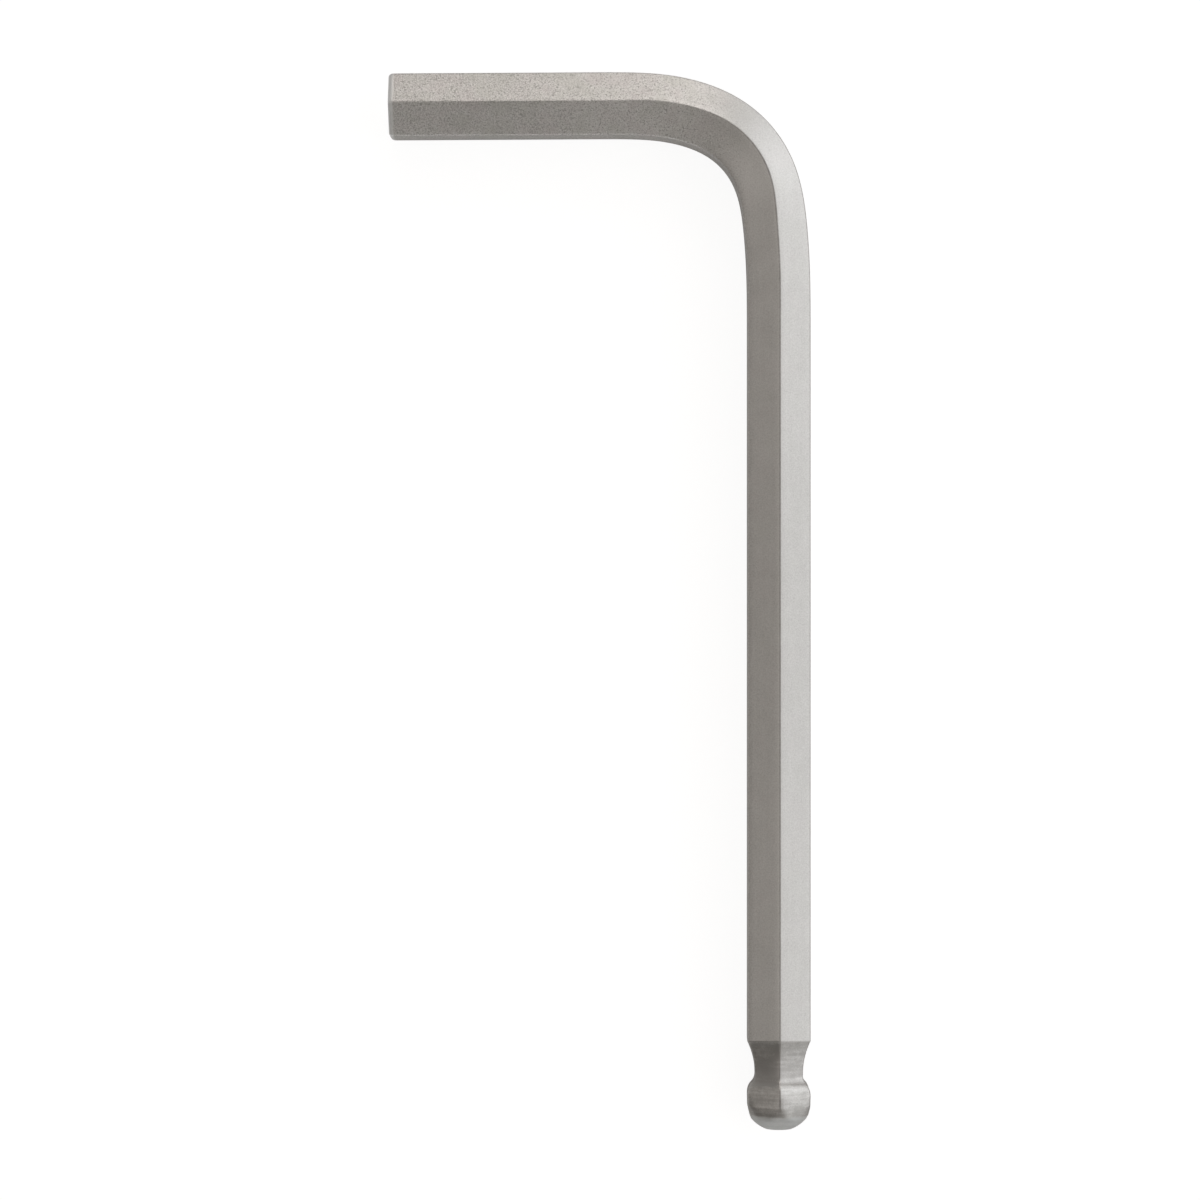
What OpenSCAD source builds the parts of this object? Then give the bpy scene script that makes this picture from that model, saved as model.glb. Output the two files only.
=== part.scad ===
// Hex key: a hexagonal steel bar with one bend, a plain end on the short arm and a ball on the long arm.
// It lies flat with its bend in the XY plane, the ball towards -Y and the short arm towards -X.
// The origin is under the middle of its bounding box, and its lowest ridge touches z = 0.

/* [Bar] */
// Width across the flats
across_flats = 5; // [4.5:0.1:6]
// Width of the narrow flats that break the six long ridges
ridge_width = 0.12; // [0.04:0.02:0.4]
// Overall length along the long arm, from the tip to the outer flat of the short arm
long_arm = 84.35; // [70:0.05:120]
// Overall length along the short arm, from its end to the outer flat of the long arm
short_arm = 33.6; // [28:0.2:50]
// Chamfer on the six edges of the short arm's end
end_chamfer = 0.2; // [0.05:0.05:0.6]

/* [Bend] */
// Angle that the bar turns through
bend_angle = 90.3; // [86:0.1:100]
// Radius of the tightest part of the bend, to the centre line
bend_radius = 8.4; // [6:0.1:12]
// Radius where the long arm starts to curve, to the centre line
long_lead_radius = 52; // [20:1:90]
// Part of the bend angle that is turned at that gentle radius
long_lead_angle = 8.5; // [2:0.5:14]
// Radius where the short arm starts to curve, to the centre line
short_lead_radius = 18; // [12:0.5:30]
// Part of the bend angle that is turned at that gentle radius
short_lead_angle = 18; // [5:0.5:24]

/* [Ball end] */
// How far the ball's lower curve would rise past the flats, which leaves a crease below the band
lower_ball_rise = 0.02; // [0.01:0.01:0.3]
// Length of the flat band around the middle of the ball
ball_band = 0.98; // [0.4:0.02:2]
// Radius of the curve from the band up to the neck
upper_ball_radius = 1.3; // [1.2:0.05:2.2]
// How far that upper curve would rise past the flats
upper_ball_rise = 0.02; // [0.01:0.01:0.05]
// Width of the tip across its flats, before its cone is turned
tip_flats = 2.5; // [1.2:0.1:3]
// Radius of the flat that the tip's cone leaves
tip_radius = 1.2; // [0.5:0.05:1.6]
// Angle between the tip's cone and the axis
tip_cone_angle = 52; // [45:1:60]

/* [Neck] */
// Width of the neck across its flats
neck_flats = 3.8; // [3:0.05:4.2]
// Length of the neck's straight part
neck_straight = 0.1; // [0.05:0.05:2]
// Radius of the hollow between the ball and the neck
neck_fillet_radius = 1.1; // [0.6:0.05:2]
// Radius of the long hollow between the neck and the shank
neck_sweep_radius = 6.1; // [3:0.1:10]

/* [Hidden] */
$fn = 96;

// Directions in a plane: outward() is the outer side of a bar that has turned by an angle
// from +Y towards -X, and heading() is where that bar then leads
function outward(turn) = [cos(turn), sin(turn)];
function heading(turn) = [-sin(turn), cos(turn)];

// Section: a hexagon with corners above and below, so that one pair of flats stands upright
half_flats = across_flats / 2;
corner_reach = half_flats / cos(30);
ridge_reach = corner_reach - ridge_width / 2 * tan(30);
corners = [30:60:330];
sides = [0:60:300];
// Curves that run into each other or into a straight line dip past it by this much
overlap = across_flats / 250;
// Far enough to pass the bar on every side
clear = 2 * across_flats;

// Ball end: a place is a distance from the tip, and a half is a distance from the axis
half_neck = neck_flats / 2;
lower_ball_radius = half_flats + lower_ball_rise;
lower_ball_place = sqrt(pow(lower_ball_radius, 2) - pow(tip_flats / 2, 2));
band_place = lower_ball_place - sqrt(pow(lower_ball_radius, 2) - pow(half_flats, 2));
upper_ball_half = half_flats + upper_ball_rise - upper_ball_radius;
upper_ball_run = sqrt(pow(upper_ball_radius, 2) - pow(half_flats - upper_ball_half, 2));
upper_ball_place = band_place + ball_band - upper_ball_run;

// The upper curve runs into the neck's hollow without a crease, on the line between their centres
fillet_half = half_neck + neck_fillet_radius;
fillet_rise = fillet_half - upper_ball_half;
fillet_reach = upper_ball_radius + neck_fillet_radius - overlap;
fillet_run = sqrt(pow(fillet_reach, 2) - pow(fillet_rise, 2));
fillet_place = upper_ball_place + fillet_run;
blend_share = (upper_ball_radius - overlap / 2) / fillet_reach;
blend_place = upper_ball_place + fillet_run * blend_share;
blend_half = upper_ball_half + fillet_rise * blend_share;
sweep_place = fillet_place + neck_straight;
sweep_half = half_neck + neck_sweep_radius;

// Bend: three curves that follow on from each other, measured from where the long arm starts to turn
core_angle = bend_angle - long_lead_angle - short_lead_angle;
curve_radii = [long_lead_radius, bend_radius, short_lead_radius];
curve_angles = [long_lead_angle, core_angle, short_lead_angle];
curve_turns = [0, long_lead_angle, long_lead_angle + core_angle, bend_angle];
long_lead_centre = -long_lead_radius * outward(0);
core_centre = long_lead_centre + (long_lead_radius - bend_radius) * outward(curve_turns[1]);
short_lead_centre = core_centre + (bend_radius - short_lead_radius) * outward(curve_turns[2]);
curve_centres = [long_lead_centre, core_centre, short_lead_centre];
short_arm_start = short_lead_centre + short_lead_radius * outward(bend_angle);

// The short arm's straight part takes what its overall length leaves past the bend
end_face_half = half_flats - end_chamfer;
end_face_reach = end_face_half * abs(cos(bend_angle));
short_arm_run = (short_arm_start[0] - end_face_reach - half_flats + short_arm) / sin(bend_angle);
short_arm_end = short_arm_start + short_arm_run * heading(bend_angle);

// The top is the highest point of the outer flat, on one of the curves or at the short arm's end
function curve_top(i, turn) = curve_centres[i][1] + (curve_radii[i] + half_flats) * sin(turn);
curve_tops = [for (i = [0:2]) curve_top(i, min(max(90, curve_turns[i]), curve_turns[i + 1]))];
end_top = short_arm_end[1] + half_flats * sin(bend_angle) - end_chamfer * cos(bend_angle);
top = max(concat(curve_tops, [end_top]));
long_arm_run = long_arm - top;

// Brings the middle of the bounding box over the origin and the lowest ridge to z = 0
frame_shift = [short_arm / 2 - half_flats, long_arm / 2 - top, ridge_reach];

// Section of the bar, with its narrow ridge flats
module section() {
    polygon([for (corner = corners) for (side = [-0.5, 0.5])
        ridge_reach * outward(corner) + side * ridge_width * heading(corner)]);
}

// Straight bar from the XZ plane along +Y
module bar(length) {
    rotate([-90, 0, 0])
        linear_extrude(height = length)
            section();
}

// What stays on one side of the ball end: X is the distance from the axis, Y the distance from the tip
module kept_side() {
    intersection() {
        translate([0, lower_ball_place])
            circle(r = lower_ball_radius);
        translate([0, -clear])
            square([clear, clear + upper_ball_place]);
    }
    translate([upper_ball_half, upper_ball_place])
        circle(r = upper_ball_radius);
    translate([0, upper_ball_place])
        square([half_neck, sweep_place - upper_ball_place + clear]);
    difference() {
        translate([0, blend_place])
            square([blend_half, fillet_place - blend_place]);
        translate([fillet_half, fillet_place])
            circle(r = neck_fillet_radius + overlap / 2);
    }
    difference() {
        translate([0, sweep_place])
            square([2 * clear, clear]);
        translate([sweep_half, sweep_place])
            circle(r = neck_sweep_radius + overlap / 2);
    }
}

// Cutter that shapes the ball and neck on one flat, which faces +X
module side_cutter() {
    linear_extrude(height = clear, center = true)
        difference() {
            translate([tip_flats / 4, -clear])
                square([clear, sweep_place + 1.5 * clear]);
            kept_side();
        }
}

// What the cone turned on the tip takes off
module tip_cutter() {
    lead = tip_radius / 10;
    slope = tan(tip_cone_angle);
    rotate([-90, 0, 0])
        rotate_extrude()
            polygon([
                [tip_radius - lead * slope, -lead],
                [clear, -lead],
                [clear, (clear - tip_radius) / slope]
            ]);
}

// Long arm up to the XZ plane, with its tip towards -Y
module long_arm_bar() {
    difference() {
        mirror([0, 1, 0])
            bar(long_arm_run);
        translate([0, -long_arm_run, 0]) {
            for (side = sides)
                rotate([0, side, 0])
                    side_cutter();
            tip_cutter();
        }
    }
}

// Cutter that chamfers the far end of a bar on one flat, which faces +X
module end_cutter() {
    translate([end_face_half, short_arm_run, 0])
        rotate(45)
            translate([0, -clear, -clear / 2])
                cube([clear, 2 * clear, clear]);
}

// Short arm from the XZ plane along +Y
module short_arm_bar() {
    difference() {
        bar(short_arm_run);
        for (side = sides)
            rotate([0, side, 0])
                end_cutter();
    }
}

// Curve about the origin, from the XZ plane through an angle, cut square at both of its ends
module bend_curve(radius, angle) {
    spare_angle = 2;
    reach = radius + clear;
    intersection() {
        rotate_extrude(start = -spare_angle, angle = angle + 2 * spare_angle)
            translate([radius, 0])
                section();
        translate([-reach, 0, -reach])
            cube(2 * reach);
        rotate(angle)
            translate([-reach, -2 * reach, -reach])
                cube(2 * reach);
    }
}

// Heart of the bar where two of its lengths meet at the XZ plane
module heart() {
    rotate([-90, 0, 0])
        cylinder(r = half_flats / 2, h = half_flats, center = true);
}

// One curve of the bend about its own centre, and all that follows it
module bend_from(i) {
    bend_curve(curve_radii[i], curve_angles[i]);
    translate([curve_radii[i], 0])
        heart();
    rotate(curve_angles[i])
        if (i < len(curve_radii) - 1)
            translate([curve_radii[i] - curve_radii[i + 1], 0])
                bend_from(i + 1);
        else
            translate([curve_radii[i], 0]) {
                heart();
                short_arm_bar();
            }
}

module hex_key() {
    color([0.68, 0.67, 0.65])
        translate(frame_shift) {
            long_arm_bar();
            translate(long_lead_centre)
                bend_from(0);
        }
}

hex_key();
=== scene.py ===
# Hex key: a nickel-plated hexagonal bar with one bend and a ball on its long arm.
# It lies flat on a pale floor, and the camera looks straight down on it.
import math
import bmesh
import bpy
from mathutils import Matrix, Vector


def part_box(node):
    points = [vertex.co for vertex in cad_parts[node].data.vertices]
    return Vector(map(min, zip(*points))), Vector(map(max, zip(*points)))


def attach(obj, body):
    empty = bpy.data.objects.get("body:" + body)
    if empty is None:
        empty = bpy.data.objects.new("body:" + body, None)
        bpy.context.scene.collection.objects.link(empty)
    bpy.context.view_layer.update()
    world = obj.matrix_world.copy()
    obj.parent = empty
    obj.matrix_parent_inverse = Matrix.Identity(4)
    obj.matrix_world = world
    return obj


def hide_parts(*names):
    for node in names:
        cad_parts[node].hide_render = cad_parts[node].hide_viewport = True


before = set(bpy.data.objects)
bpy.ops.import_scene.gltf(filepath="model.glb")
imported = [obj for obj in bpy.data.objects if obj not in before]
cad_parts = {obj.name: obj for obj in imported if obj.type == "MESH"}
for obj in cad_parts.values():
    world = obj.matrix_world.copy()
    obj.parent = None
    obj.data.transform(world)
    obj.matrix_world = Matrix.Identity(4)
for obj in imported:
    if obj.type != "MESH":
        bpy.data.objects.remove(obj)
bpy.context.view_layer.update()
MM = 0.001

# Bar: a hexagon with corners above and below, and one pair of upright flats
SIDES = 6
HALF_SIDE_ANGLE = math.radians(30)
HALF_FLATS = 2.5 * MM
CORNER_REACH = HALF_FLATS / math.cos(HALF_SIDE_ANGLE)
RIDGE_RADIUS = 0.22 * MM
RIDGE_SEGMENTS = 6
FLAT_CUTS = 5

# Bend: three curves one after the other, softened where they meet
LEAD_RADIUS = 60 * MM
LEAD_TURN = math.radians(7.5)
CORE_RADIUS = 7.83 * MM
TAIL_RADIUS = 15.6 * MM
TAIL_TURN = math.radians(21.0)
BEND_TURN = math.radians(90.32)
BEND_SOFTNESS = 1.67 * MM
BEND_START = 24.33 * MM
BEND_STEP = 0.25 * MM
# Straight length on each side, over which the softening fades out
BEND_MARGIN = 4 * BEND_SOFTNESS
# Pull of the bend on the two ridges in its middle, which drift outwards where it is tight
RIDGE_DRIFT = 2.31 * MM * MM

# Worn edge of the short arm's end: its length, how far it drops, and how late it drops
END_RUN = 0.42 * MM
END_DROP = 0.2 * MM
END_POWER = 3
END_STEPS = 10

# Ball: a lower curve, a crease, a flat band, an upper curve and a convex cap on the tip
CREASE_PLACE = 1.88 * MM
CREASE_TILT = 0.16
LOWER_RADIUS = 5 * MM
BAND_LENGTH = 0.72 * MM
UPPER_RADIUS = 1.35 * MM
CAP_RADIUS = 2.9 * MM
CAP_FACE = 1.1 * MM
BALL_STEPS = 32
# Distance from a crease to the next section, which keeps the crease crisp
CREASE_GAP = 0.03 * MM

# Neck, with a small hollow towards the ball and a long one towards the shank
NECK_HALF = 1.9 * MM
NECK_LENGTH = 0.1 * MM
FILLET_RADIUS = 1.1 * MM
SWEEP_RADIUS = 6.1 * MM

# The sloping flats are cut a little further from the tip than the upright ones
CUT_SHIFT = 0.38 * MM
CUT_SHIFT_RUN = 1.2 * MM

# Colours of the nickel
DARK_NICKEL = (0.46, 0.455, 0.445, 1)
LIGHT_NICKEL = (0.845, 0.84, 0.83, 1)
RED_TINGE = (0.68, 0.64, 0.64, 1)
GREEN_TINGE = (0.64, 0.645, 0.61, 1)
# Dark colour of the painted shade on the neck
NECK_SHADE_COLOUR = (0.31, 0.305, 0.3, 1)
TIP_COLOUR = (0.76, 0.79, 0.8, 1)
# Painted highlight on the rounded end of the short arm
END_HIGHLIGHT_COLOUR = (0.95, 0.97, 0.98, 1)

# Sizes of its patterns, and how far the streaks and the turned marks are drawn out along each axis
GRAIN_SIZE = 0.115 * MM
GRAIN_DETAIL = 3.0
GRAIN_HARSHNESS = 0.6
PIT_SIZE = 0.15 * MM
PIT_DETAIL = 1.0
PIT_LEVELS = (0.43, 0.3)
CLOUD_SIZE = 1.6 * MM
STREAK_SIZE = 0.3 * MM
STREAK_SCALE = (1, 0.05, 1)
MARK_SIZE = 0.22 * MM
MARK_SCALE = (0.12, 1, 0.12)
BLOTCH_SIZE = 0.8 * MM

# What the patterns add to the tone, which runs from the dark nickel at 0 to the light nickel at 1
MIDDLE_TONE = 0.5
GRAIN_TONE = 0.9
PITTED_GRAIN_TONE = 2.2
PIT_TONE = 0.08
PITTED_PIT_TONE = 0.85
CLOUD_TONE = 0.25
STREAK_TONE = 0.14
MARK_TONE = 0.9
BLOTCH_TONE = 0.8

# Zones of the key: each grows along X or Y from its first limit to its second
PITTED_X = (13 * MM, 4 * MM)
BRIGHT_START_X = (-8 * MM, 2 * MM)
BRIGHT_END_X = (12 * MM, 6 * MM)
# Painted highlight on the rounded end of the short arm
END_HIGHLIGHT_X = (-16.3 * MM, -16.55 * MM)
# Left side of the ball end, which takes painted shade
SHADED_LEFT_X = (14.5 * MM, 13.9 * MM)
MIDDLE_START_Y = (20 * MM, 2 * MM)
MIDDLE_END_Y = (-25 * MM, -5 * MM)
TURNED_Y = (-34.9 * MM, -35.2 * MM)
# Painted shade in the neck's hollow
WAIST_SHADE_Y = (-38.4 * MM, -38.1 * MM)
# Painted shade in the crease at the root of the ball
ROOT_SHADE_START_Y = (-38.1 * MM, -38.3 * MM)
ROOT_SHADE_END_Y = (-38.7 * MM, -38.5 * MM)
BAND_Y = (-39.35 * MM, -39.6 * MM)
LOWER_Y = (-40.22 * MM, -40.3 * MM)
TIP_Y = (-40.9 * MM, -41.2 * MM)

# What the zones add to the tone
ZONE_TONES = {
    "pitted": 0.1,
    "bright": 0.2,
    "middle": -0.07,
    "turned": -0.13,
    # Painted shade on the left side of the turned end
    "turned_left_painted_shade": -0.03,
    # Painted shade in the neck's hollow
    "waist_painted_shade": -0.26,
    # Painted shade in the crease at the root of the ball
    "root": -0.05,
    # Painted shade on the left side of the crease at the ball's root
    "root_left_painted_shade": -0.3,
    "band": -0.14,
    "lower": -0.09,
    "tip": 0.33,
}

# Tinges: patches by the levels of a pattern, fainter where the key isn't pitted
TINGE_SIZE = 1.9 * MM
PLAIN_TINGE = 0.4
RED_LEVELS = (0.45, 0.7)
RED_SHARE = 0.25
GREEN_LEVELS = (0.55, 0.3)
GREEN_SHARE = 0.3

# Painted shade on the neck's upper left: its middle, its limits, from its rim inwards, and its strength
NECK_SHADE_MIDDLE = (13.2 * MM, -37.3 * MM, 4.3 * MM)
NECK_SHADE_LIMITS = (1.75 * MM, 0.2 * MM)
NECK_SHADE_SHARE = 0.8

# How far the ball's turned tip takes a colour of its own
TIP_SHARE = 0.65

# Roughness of the nickel, and the relief of its grain and pits
ROUGHNESS = 0.42
CLOUD_ROUGHNESS = 0.06
GRAIN_ROUGHNESS = 0.1
TIP_ROUGHNESS = 0.2
RELIEF_STRENGTH = 0.7
RELIEF_DEPTH = 0.03 * MM
GRAIN_RELIEF = 0.35
PIT_RELIEF = 0.4

# Floor: its colour in the room and as the camera sees it, and its glow to the camera and in the metal
FLOOR_SIZE = 3.0
PAPER_COLOUR = (0.8, 0.8, 0.8, 1)
SEEN_PAPER_COLOUR = (0.3, 0.3, 0.3, 1)
SEEN_GLOW = 0.89
MIRRORED_GLOW = 0.08

# Middle of the frame, and the width that it covers at the height of the bar's middle
FRAME_X = 0.015 * MM
FRAME_Y = 0.07 * MM
VIEW_WIDTH = 96 * MM
# The camera stands a little to the right of the middle of the frame
CAMERA_HEIGHT = 292.85 * MM
CAMERA_OFFSET = 3 * MM
CAMERA_NEAR = 10 * MM
SENSOR_WIDTH = 36

# Room light, and soft boxes by azimuth, elevation, spread, strength and colour, with the angles in degrees.
# Those with a negative strength are dark corners.
ROOM_LIGHT = (0.325, 0.304, 0.282)
WHITE = (0.98, 1.0, 1.02)
WARM = (1.0, 0.945, 0.9)
SOFT_BOXES = [
    (-1, 5, 66, 0.78, WHITE),
    (38, 12, 34, 0.66, WHITE),
    (82, 27, 22, 1.55, WARM),
    (199, 47, 28, 0.52, WARM),
    (258, -6, 32, 0.36, WHITE),
    (264, -4, 16, 1.7, WHITE),
    (270, 36, 34, -0.07, WARM),
    (210, 23.3, 37.5, -0.31, WARM),
    (0, 90, 21, -0.284, WARM),
]

low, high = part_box("hex_key")
axis_x = high[0] - HALF_FLATS
axis_z = (low[2] + high[2]) / 2


# Places along the centre line

def section_place(point, turn=0.0, half_flats=HALF_FLATS, curvature=0.0, cut=False):
    """Where a section sits, its turn, its half width, the bend there, and whether it is on the ball end."""
    return {"point": point, "turn": turn, "half_flats": half_flats, "curvature": curvature, "cut": cut}


def arc(centre, radius, first, last, steps):
    """Places on an arc, as pairs of a distance along the axis and a half width."""
    turns = [first + (last - first) * i / steps for i in range(steps + 1)]
    return [(centre[0] + radius * math.cos(turn), centre[1] + radius * math.sin(turn)) for turn in turns]


def ball_outline():
    """Half width across the flats along the ball and the neck, from the tip to the shank."""
    lower_centre = (CREASE_PLACE + LOWER_RADIUS * math.sin(CREASE_TILT),
                    HALF_FLATS - LOWER_RADIUS * math.cos(CREASE_TILT))
    tip = math.pi - math.acos(lower_centre[0] / LOWER_RADIUS)
    lower = arc(lower_centre, LOWER_RADIUS, tip, math.pi / 2 + CREASE_TILT, BALL_STEPS)
    upper_centre = (lower[-1][0] + BAND_LENGTH, HALF_FLATS - UPPER_RADIUS)
    rise = NECK_HALF + FILLET_RADIUS - upper_centre[1]
    run = math.sqrt((UPPER_RADIUS + FILLET_RADIUS) ** 2 - rise ** 2)
    blend = math.atan2(rise, run)
    band = [(lower[-1][0] + CREASE_GAP, HALF_FLATS)]
    upper = arc(upper_centre, UPPER_RADIUS, math.pi / 2, blend, BALL_STEPS)
    fillet_centre = (upper_centre[0] + run, upper_centre[1] + rise)
    fillet = arc(fillet_centre, FILLET_RADIUS, blend + math.pi, 1.5 * math.pi, BALL_STEPS)
    sweep_centre = (fillet_centre[0] + NECK_LENGTH, NECK_HALF + SWEEP_RADIUS)
    shank = -math.asin((sweep_centre[1] - HALF_FLATS) / SWEEP_RADIUS)
    sweep = arc(sweep_centre, SWEEP_RADIUS, -math.pi / 2, shank, BALL_STEPS)
    return lower + band + upper + fillet[1:] + sweep + [(sweep[-1][0] + CREASE_GAP, HALF_FLATS)]


def ball_places():
    """Places from the tip to the start of the long arm's plain length."""
    return [section_place(Vector((axis_x, low[1] + along, axis_z)), half_flats=half, cut=True)
            for along, half in ball_outline()]


def bend_changes():
    """Changes of the centre line's curvature, each with its distance from where the bend starts."""
    core_turn = BEND_TURN - LEAD_TURN - TAIL_TURN
    lead_end = LEAD_RADIUS * LEAD_TURN
    core_end = lead_end + CORE_RADIUS * core_turn
    tail_end = core_end + TAIL_RADIUS * TAIL_TURN
    return [(0, 1 / LEAD_RADIUS), (lead_end, 1 / CORE_RADIUS - 1 / LEAD_RADIUS),
            (core_end, 1 / TAIL_RADIUS - 1 / CORE_RADIUS), (tail_end, -1 / TAIL_RADIUS)]


def bend_curvature(along, changes):
    """Curvature of the centre line, at a distance from where the bend starts."""
    spread = BEND_SOFTNESS * math.sqrt(2)
    return sum(change * (1 + math.erf((along - place) / spread)) / 2 for place, change in changes)


def bend_places():
    """Places through the bend, from the straight part of the long arm to that of the short arm."""
    changes = bend_changes()
    steps = round((changes[-1][0] + 2 * BEND_MARGIN) / BEND_STEP)
    point = Vector((axis_x, BEND_START - BEND_MARGIN, axis_z))
    turn = 0.0
    places = []
    for i in range(steps + 1):
        curvature = bend_curvature((i + 0.5) * BEND_STEP - BEND_MARGIN, changes)
        places.append(section_place(point.copy(), turn, curvature=curvature))
        middle = turn + curvature * BEND_STEP / 2
        point += BEND_STEP * Vector((-math.sin(middle), math.cos(middle), 0))
        turn += curvature * BEND_STEP
    return places


def end_places(start):
    """Places around the rounded edge of the short arm's end."""
    turn = start["turn"]
    heading = Vector((-math.sin(turn), math.cos(turn), 0))
    face_reach = (HALF_FLATS - END_DROP) * abs(math.cos(turn))
    run = (start["point"].x - face_reach - low[0]) / math.sin(turn)
    edge_start = start["point"] + (run - END_RUN) * heading
    places = [{**start, "point": edge_start - CREASE_GAP * heading}]
    for i in range(END_STEPS + 1):
        share = i / END_STEPS
        half_flats = HALF_FLATS - END_DROP * share ** END_POWER
        places.append(section_place(edge_start + END_RUN * share * heading, turn, half_flats))
    return places


# Key

def placing(place):
    """Matrix that puts the section, drawn in the XY plane, at a place on the centre line."""
    return (Matrix.Translation(place["point"]) @ Matrix.Rotation(place["turn"], 4, "Z")
            @ Matrix.Rotation(math.pi / 2, 4, "X") @ Matrix.Scale(place["half_flats"] / HALF_FLATS, 4))


def draw_section(bm):
    """Hexagon with rounded corners, one of them upright."""
    bmesh.ops.create_circle(bm, cap_ends=True, segments=SIDES, radius=CORNER_REACH)
    bmesh.ops.bevel(bm, geom=list(bm.verts), affect="VERTICES", offset_type="OFFSET",
                    offset=RIDGE_RADIUS * math.tan(HALF_SIDE_ANGLE), segments=RIDGE_SEGMENTS,
                    profile=0.5, material=-1)
    flats = [edge for edge in bm.edges if edge.calc_length() > HALF_FLATS / 2]
    bmesh.ops.subdivide_edges(bm, edges=flats, cuts=FLAT_CUTS)


def turn_tip(rings, places):
    """Turn the ball's tip down to a convex cap."""
    cap_place = math.sqrt(CAP_RADIUS ** 2 - CAP_FACE ** 2)
    for ring, place in zip(rings, places):
        along = place["point"].y - low[1]
        if along < cap_place:
            limit = math.sqrt(CAP_RADIUS ** 2 - (cap_place - along) ** 2)
            for vert in ring:
                reach = (vert.co - place["point"]).length
                if reach > limit:
                    vert.co = place["point"].lerp(vert.co, limit / reach)


def shift_cuts(rings, places):
    """Move the cuts of the ball and the neck along the axis, on the sloping flats."""
    for ring, place in zip(rings, places):
        along = place["point"].y - low[1] - CREASE_PLACE
        if place["cut"] and along > 0:
            for vert in ring:
                share = abs(vert.co.z - axis_z) / CORNER_REACH
                vert.co.y += share * CUT_SHIFT * min(along / CUT_SHIFT_RUN, 1)


def drift_ridges(rings, places):
    """Move the bend's upper and lower ridges outwards."""
    side_height = CORNER_REACH / 2 + RIDGE_RADIUS
    top_height = CORNER_REACH - RIDGE_RADIUS
    for ring, place in zip(rings, places):
        drift = RIDGE_DRIFT * place["curvature"]
        outward = Vector((math.cos(place["turn"]), math.sin(place["turn"]), 0))
        for vert in ring:
            share = (abs(vert.co.z - axis_z) - side_height) / (top_height - side_height)
            vert.co += min(max(share, 0), 1) * drift * outward


def make_key():
    """The whole key as one skin, extruded along its centre line from the tip."""
    places = ball_places() + bend_places()
    places += end_places(places[-1])
    bm = bmesh.new()
    draw_section(bm)
    face = list(bm.faces)[0]
    here = placing(places[0])
    bmesh.ops.transform(bm, matrix=here, verts=list(bm.verts))
    rings = [list(face.verts)]
    for place in places[1:]:
        there = placing(place)
        grown = bmesh.ops.extrude_face_region(bm, geom=[face])["geom"]
        if len(rings) > 1:
            bmesh.ops.delete(bm, geom=[face], context="FACES_ONLY")
        face = [part for part in grown if isinstance(part, bmesh.types.BMFace)][0]
        bmesh.ops.transform(bm, matrix=there @ here.inverted(), verts=list(face.verts))
        rings.append(list(face.verts))
        here = there
    turn_tip(rings, places)
    shift_cuts(rings, places)
    drift_ridges(rings, places)
    bmesh.ops.recalc_face_normals(bm, faces=list(bm.faces))
    # The skin is smooth, and the two end faces are flat
    for face in bm.faces:
        face.smooth = len(face.verts) == 4
    mesh = bpy.data.meshes.new("nickel_hex_key")
    bm.to_mesh(mesh)
    bm.free()
    key = bpy.data.objects.new("nickel_hex_key", mesh)
    bpy.context.scene.collection.objects.link(key)
    return key


# Finishes

class Value:
    """A number in a shader. Arithmetic on it adds Math nodes."""

    def __init__(self, finish, socket):
        self.finish = finish
        self.socket = socket

    def combine(self, operation, first, second):
        return self.finish.node("ShaderNodeMath", {"operation": operation}, {0: first, 1: second})

    def __add__(self, other):
        return self.combine("ADD", self, other)

    def __sub__(self, other):
        return self.combine("SUBTRACT", self, other)

    def __rsub__(self, other):
        return self.combine("SUBTRACT", other, self)

    def __mul__(self, other):
        return self.combine("MULTIPLY", self, other)

    __radd__ = __add__
    __rmul__ = __mul__


class Finish:
    """Nodes of one material or of the world."""

    def __init__(self, tree):
        self.tree = tree
        tree.nodes.clear()

    def node(self, kind, settings, sockets, output=0):
        made = self.tree.nodes.new(kind)
        for name, setting in settings.items():
            setattr(made, name, setting)
        for name, value in sockets.items():
            if isinstance(value, Value):
                self.tree.links.new(value.socket, made.inputs[name])
            else:
                made.inputs[name].default_value = value
        return Value(self, made.outputs[output]) if made.outputs else None

    def noise(self, vector, size, detail=2.0, roughness=0.5):
        return self.node("ShaderNodeTexNoise", {}, {"Vector": vector, "Scale": 1 / size, "Detail": detail,
                                                    "Roughness": roughness})

    def smooth(self, value, start, end):
        """0 below the start, 1 past the end."""
        return self.node("ShaderNodeMapRange", {"interpolation_type": "SMOOTHSTEP"},
                         {"Value": value, "From Min": start, "From Max": end})

    def mix(self, share, first, second):
        """Mix of two colours."""
        return self.node("ShaderNodeMix", {"data_type": "RGBA"}, {0: share, 6: first, 7: second}, 2)

    def part(self, vector, axis):
        """One coordinate of a vector: 0 is X and 1 is Y."""
        return self.node("ShaderNodeSeparateXYZ", {}, {"Vector": vector}, axis)

    def drawn_out(self, vector, scale):
        """Coordinates for a pattern that is drawn out along the axes where the scale is small."""
        return self.node("ShaderNodeMapping", {}, {"Vector": vector, "Scale": scale})

    def ray(self, kind):
        """1 where a ray of this kind meets the surface."""
        return self.node("ShaderNodeLightPath", {}, {}, f"Is {kind} Ray")

    def lobe(self, direction, azimuth, elevation, spread):
        """Soft box in the world: 1 in its middle, 0 past its spread."""
        turn, lift = math.radians(azimuth), math.radians(elevation)
        middle = (math.cos(turn) * math.cos(lift), math.sin(turn) * math.cos(lift), math.sin(lift))
        nearness = self.node("ShaderNodeVectorMath", {"operation": "DOT_PRODUCT"},
                             {0: direction, 1: middle}, 1)
        return self.smooth(nearness, math.cos(math.radians(spread)), 1)


def new_material(name):
    material = bpy.data.materials.new(name)
    material.use_nodes = True
    return material


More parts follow.
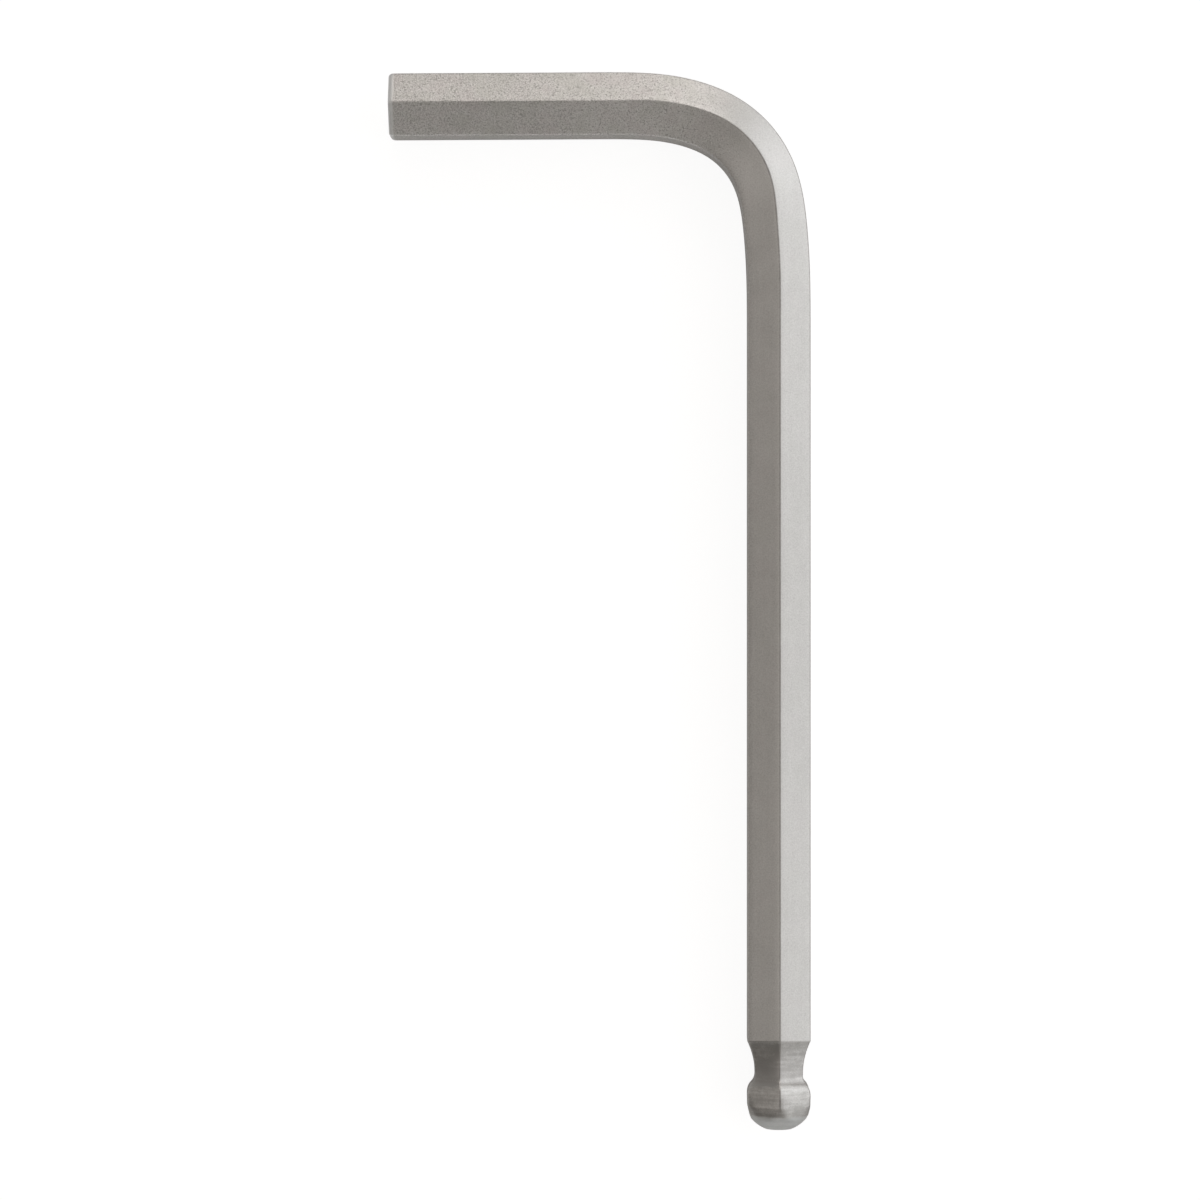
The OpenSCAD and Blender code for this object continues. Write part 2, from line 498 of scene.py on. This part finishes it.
def key_zones(finish, place):
    """Masks of the key's zones: 1 inside a zone and 0 outside it."""
    across = finish.part(place, 0)
    upright = finish.part(place, 1)
    # Left side of the ball end, which takes painted shade
    left = finish.smooth(across, *SHADED_LEFT_X)
    turned = finish.smooth(upright, *TURNED_Y)
    # Painted shade in the crease at the root of the ball
    root = finish.smooth(upright, *ROOT_SHADE_START_Y) * finish.smooth(upright, *ROOT_SHADE_END_Y)
    return {
        "pitted": finish.smooth(across, *PITTED_X),
        "bright": finish.smooth(across, *BRIGHT_START_X) * finish.smooth(across, *BRIGHT_END_X),
        "end_highlight": finish.smooth(across, *END_HIGHLIGHT_X),
        "middle": finish.smooth(upright, *MIDDLE_START_Y) * finish.smooth(upright, *MIDDLE_END_Y),
        "turned": turned,
        # Painted shade on the left side of the turned end
        "turned_left_painted_shade": turned * left,
        # Painted shade in the neck's hollow
        "waist_painted_shade": finish.smooth(upright, *WAIST_SHADE_Y) * turned,
        "root": root,
        # Painted shade on the left side of the crease at the ball's root
        "root_left_painted_shade": root * left,
        "band": finish.smooth(upright, *BAND_Y),
        "lower": finish.smooth(upright, *LOWER_Y),
        "tip": finish.smooth(upright, *TIP_Y),
    }


def nickel_tone(finish, place, zones, grain, pits, cloud):
    """How light the nickel is, from its patterns and its zones."""
    pitted = zones["pitted"]
    streak = finish.noise(finish.drawn_out(place, STREAK_SCALE), STREAK_SIZE) - 0.5
    marks = finish.noise(finish.drawn_out(place, MARK_SCALE), MARK_SIZE) - 0.5
    blotches = finish.noise(place, BLOTCH_SIZE) - 0.5
    tone = MIDDLE_TONE + grain * (GRAIN_TONE + pitted * PITTED_GRAIN_TONE)
    tone = tone - pits * (PIT_TONE + pitted * PITTED_PIT_TONE)
    tone = tone + cloud * CLOUD_TONE + streak * (1 - pitted) * STREAK_TONE
    tone = tone + (marks * MARK_TONE + blotches * BLOTCH_TONE) * zones["turned"]
    for name, change in ZONE_TONES.items():
        tone = tone + zones[name] * change
    return tone


def nickel_colour(finish, place, zones, tone):
    """Colour of the nickel, with its tinges, painted shade on its neck, its turned tip and a painted
    highlight on the short arm's end.
    """
    colour = finish.mix(tone, DARK_NICKEL, LIGHT_NICKEL)
    patches = finish.noise(place, TINGE_SIZE)
    amount = PLAIN_TINGE + zones["pitted"]
    red = finish.smooth(patches, *RED_LEVELS) * RED_SHARE * amount
    green = finish.smooth(patches, *GREEN_LEVELS) * GREEN_SHARE * amount
    colour = finish.mix(red, colour, RED_TINGE)
    colour = finish.mix(green, colour, GREEN_TINGE)
    # Painted shade on the neck's upper left
    reach = finish.node("ShaderNodeVectorMath", {"operation": "DISTANCE"}, {0: place, 1: NECK_SHADE_MIDDLE}, 1)
    colour = finish.mix(finish.smooth(reach, *NECK_SHADE_LIMITS) * NECK_SHADE_SHARE, colour, NECK_SHADE_COLOUR)
    colour = finish.mix(zones["tip"] * TIP_SHARE, colour, TIP_COLOUR)
    # Painted highlight on the rounded end of the short arm
    return finish.mix(zones["end_highlight"], colour, END_HIGHLIGHT_COLOUR)


def nickel():
    """Satin nickel: pitted on the short arm and the bend, streaked along the long arm, turned at its end."""
    material = new_material("satin_nickel")
    finish = Finish(material.node_tree)
    place = finish.node("ShaderNodeTexCoord", {}, {}, "Object")
    zones = key_zones(finish, place)
    grain = finish.noise(place, GRAIN_SIZE, GRAIN_DETAIL, GRAIN_HARSHNESS) - 0.5
    pits = finish.smooth(finish.noise(place, PIT_SIZE, PIT_DETAIL), *PIT_LEVELS)
    cloud = finish.noise(place, CLOUD_SIZE) - 0.5
    tone = nickel_tone(finish, place, zones, grain, pits, cloud)
    colour = nickel_colour(finish, place, zones, tone)
    roughness = ROUGHNESS + cloud * CLOUD_ROUGHNESS + grain * GRAIN_ROUGHNESS + zones["tip"] * TIP_ROUGHNESS
    relief = grain * (GRAIN_RELIEF + zones["pitted"]) - pits * zones["pitted"] * PIT_RELIEF
    bump = finish.node("ShaderNodeBump", {}, {"Strength": RELIEF_STRENGTH, "Distance": RELIEF_DEPTH,
                                              "Height": relief})
    shader = finish.node("ShaderNodeBsdfPrincipled", {}, {"Base Color": colour, "Metallic": 1.0,
                                                          "Roughness": roughness, "Normal": bump})
    finish.node("ShaderNodeOutputMaterial", {}, {"Surface": shader})
    return material


def paper():
    """White paper that glows for the camera and faintly in the metal, and keeps the key's shadow."""
    material = new_material("white_paper")
    finish = Finish(material.node_tree)
    seen = finish.ray("Camera") + finish.ray("Transmission")
    shade = finish.mix(seen, PAPER_COLOUR, SEEN_PAPER_COLOUR)
    diffuse = finish.node("ShaderNodeBsdfDiffuse", {}, {"Color": shade})
    strength = seen * SEEN_GLOW + finish.ray("Glossy") * MIRRORED_GLOW
    glow = finish.node("ShaderNodeEmission", {}, {"Color": (1, 1, 1, 1), "Strength": strength})
    both = finish.node("ShaderNodeAddShader", {}, {0: diffuse, 1: glow})
    finish.node("ShaderNodeOutputMaterial", {}, {"Surface": both})
    return material


# Studio

def make_floor():
    bm = bmesh.new()
    bmesh.ops.create_grid(bm, x_segments=1, y_segments=1, size=FLOOR_SIZE)
    mesh = bpy.data.meshes.new("floor")
    bm.to_mesh(mesh)
    bm.free()
    floor = bpy.data.objects.new("floor", mesh)
    bpy.context.scene.collection.objects.link(floor)
    mesh.materials.append(paper())


def light_studio():
    """Dim room with soft boxes and dark corners around it."""
    world = bpy.data.worlds.new("studio")
    world.use_nodes = True
    finish = Finish(world.node_tree)
    direction = finish.node("ShaderNodeTexCoord", {}, {}, "Generated")
    light = ROOM_LIGHT
    for azimuth, elevation, spread, strength, colour in SOFT_BOXES:
        glow = finish.lobe(direction, azimuth, elevation, spread) * strength
        glow = finish.node("ShaderNodeVectorMath", {"operation": "SCALE"}, {0: colour, "Scale": glow})
        light = finish.node("ShaderNodeVectorMath", {"operation": "ADD"}, {0: light, 1: glow})
    sky = finish.node("ShaderNodeBackground", {}, {"Color": light, "Strength": 1.0})
    finish.node("ShaderNodeOutputWorld", {}, {"Surface": sky})
    bpy.context.scene.world = world


def add_camera():
    camera = bpy.data.cameras.new("camera")
    camera.sensor_width = SENSOR_WIDTH
    camera.lens = SENSOR_WIDTH * (CAMERA_HEIGHT - axis_z) / VIEW_WIDTH
    eye = bpy.data.objects.new("camera", camera)
    eye.location = (FRAME_X + CAMERA_OFFSET, FRAME_Y, CAMERA_HEIGHT)
    camera.shift_x = -CAMERA_OFFSET / VIEW_WIDTH
    camera.clip_start = CAMERA_NEAR
    bpy.context.scene.collection.objects.link(eye)
    bpy.context.scene.camera = eye


key = make_key()
key.data.materials.append(nickel())
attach(key, "root")
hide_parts("hex_key")
make_floor()
light_studio()
add_camera()
bpy.context.scene.view_settings.view_transform = "Standard"
